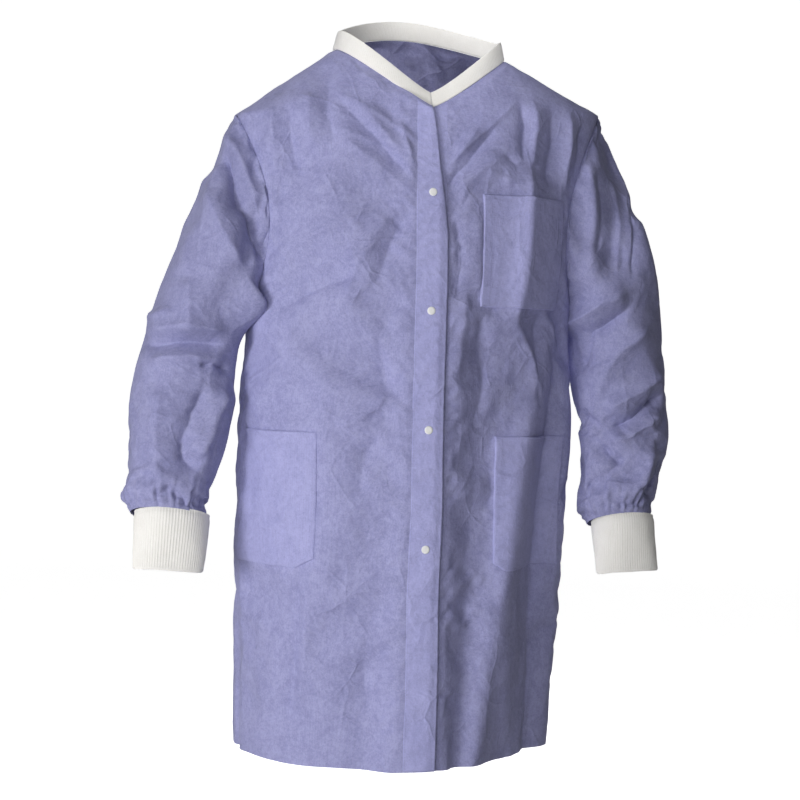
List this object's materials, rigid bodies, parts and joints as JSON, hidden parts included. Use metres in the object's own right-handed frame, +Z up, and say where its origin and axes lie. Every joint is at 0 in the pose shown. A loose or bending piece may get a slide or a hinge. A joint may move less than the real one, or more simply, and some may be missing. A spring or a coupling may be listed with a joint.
{
  "type": "laboratory coat",
  "caption": "Knee-length long-sleeved protective lab coat with knit collar band, knit cuffs, snap front, chest pocket and hip pockets; fronts open and sleeves move.",
  "frame": {"origin": "middle of the hem at the floor plane, which is also the bottom centre of the bounding box", "axes": "+Z up, the front of the coat faces -Y, +X points to the wearer's left"},
  "size_m": [0.7555, 0.3186, 1.0099],
  "materials": {
    "cloth": "matte crinkled nonwoven",
    "knit": "rib knit",
    "snap": "semi-matte moulded"
  },
  "bodies": {
    "torso": {"back_panel": "cloth", "right_front_panel": "cloth", "left_front_panel": "cloth", "collar_back": "knit", "chest_pocket": "cloth", "right_hip_pocket": "cloth", "left_hip_pocket": "cloth"},
    "right_flap": {"right_front_flap": "cloth", "right_placket": "cloth", "collar_right": "knit", "snap_caps": "snap", "snap_sockets": "snap"},
    "left_flap": {"left_front_flap": "cloth", "left_placket": "cloth", "collar_left": "knit", "snap_studs": "snap", "snap_backs": "snap"},
    "right_sleeve": {"right_sleeve_upper": "cloth"},
    "right_forearm": {"right_sleeve_lower": "cloth", "right_cuff": "knit"},
    "left_sleeve": {"left_sleeve_upper": "cloth"},
    "left_forearm": {"left_sleeve_lower": "cloth", "left_cuff": "knit"}
  },
  "joints": [
    {"name": "right_front_open", "type": "hinge", "parent": "torso", "child": "right_flap", "pos_m": [-0.084, -0.152, 0], "axis": [-0.0242, -0.0463, -0.9986], "range_deg": [0, 110], "stiffness_Nm_per_rad": 0.02},
    {"name": "left_front_open", "type": "hinge", "parent": "torso", "child": "left_flap", "pos_m": [0.084, -0.152, 0], "axis": [-0.0242, 0.0463, 0.9986], "range_deg": [0, 55], "stiffness_Nm_per_rad": 0.02},
    {"name": "right_shoulder_raise", "type": "hinge", "parent": "torso", "child": "right_sleeve", "pos_m": [-0.2487, 0, 0.8542], "axis": [0, 1, 0], "range_deg": [0, 60], "stiffness_Nm_per_rad": 0.02},
    {"name": "left_shoulder_raise", "type": "hinge", "parent": "torso", "child": "left_sleeve", "pos_m": [0.2607, 0, 0.8822], "axis": [0, -1, 0], "range_deg": [0, 60], "stiffness_Nm_per_rad": 0.02},
    {"name": "right_elbow_bend", "type": "hinge", "parent": "right_sleeve", "child": "right_forearm", "pos_m": [-0.303, -0.073, 0.5415], "axis": [-1, 0, 0], "range_deg": [0, 80], "stiffness_Nm_per_rad": 0.06},
    {"name": "left_elbow_bend", "type": "hinge", "parent": "left_sleeve", "child": "left_forearm", "pos_m": [0.305, -0.0705, 0.5415], "axis": [-1, 0, 0], "range_deg": [0, 80], "stiffness_Nm_per_rad": 0.06}
  ],
  "couplings": [
    {"joint": "left_front_open", "follows": "right_front_open", "ratio": 0.5}
  ]
}
